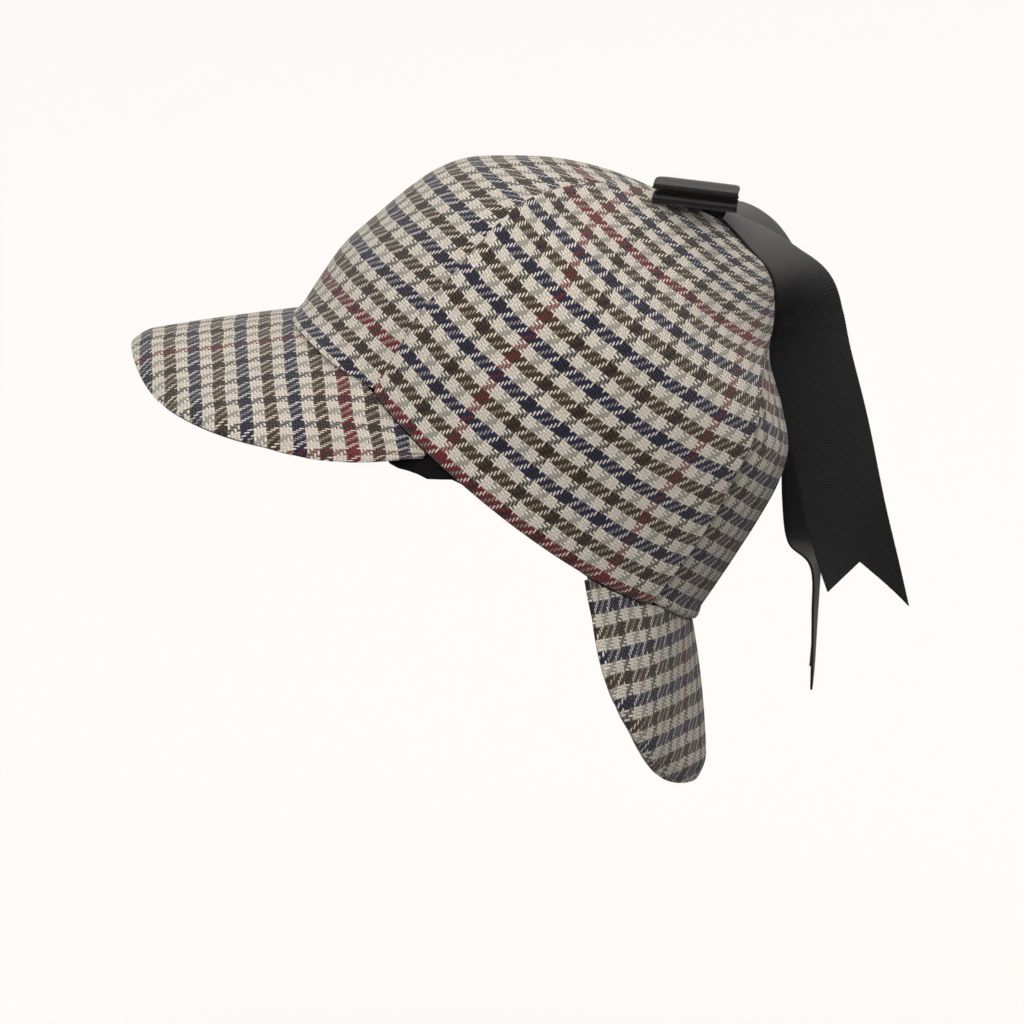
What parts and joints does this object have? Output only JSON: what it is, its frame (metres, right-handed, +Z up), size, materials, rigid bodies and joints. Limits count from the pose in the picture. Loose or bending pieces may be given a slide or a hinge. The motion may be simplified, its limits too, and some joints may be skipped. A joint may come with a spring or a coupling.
{
  "type": "deerstalker hat",
  "caption": "Soft check tweed cap with a peak at front and back and ear flaps turned up over a gored crown, tied on top with a grosgrain bow whose tails hang behind.",
  "frame": {"origin": "middle of the rim's plane, where a head fills the hat", "axes": "+Z up with the hat in its worn tilt, -X towards the front peak, -Y towards the wearer's left; the rim's plane drops 38.4 degrees towards the back"},
  "size_m": [0.3187, 0.1814, 0.2538],
  "materials": {
    "tweed": "cream wool twill with a woven check of navy, brown, black and burgundy threads",
    "ribbon": "black grosgrain ribbon with fine cross ribs and a soft sheen",
    "band_satin": "black satin band, slightly glossy"
  },
  "bodies": {
    "root": {"gore_front_left": "tweed", "gore_side_left": "tweed", "gore_back_left": "tweed", "gore_back_right": "tweed", "gore_side_right": "tweed", "gore_front_right": "tweed", "ear_flap_left": "tweed", "ear_flap_right": "tweed", "front_peak": "tweed", "back_peak": "tweed", "sweatband": "band_satin", "bow_knot": "ribbon", "bow_loop_upper": "ribbon", "bow_loop_lower": "ribbon", "bow_loop_far": "ribbon", "ribbon_tail_left": "ribbon", "ribbon_tail_right": "ribbon"}
  },
  "joints": []
}
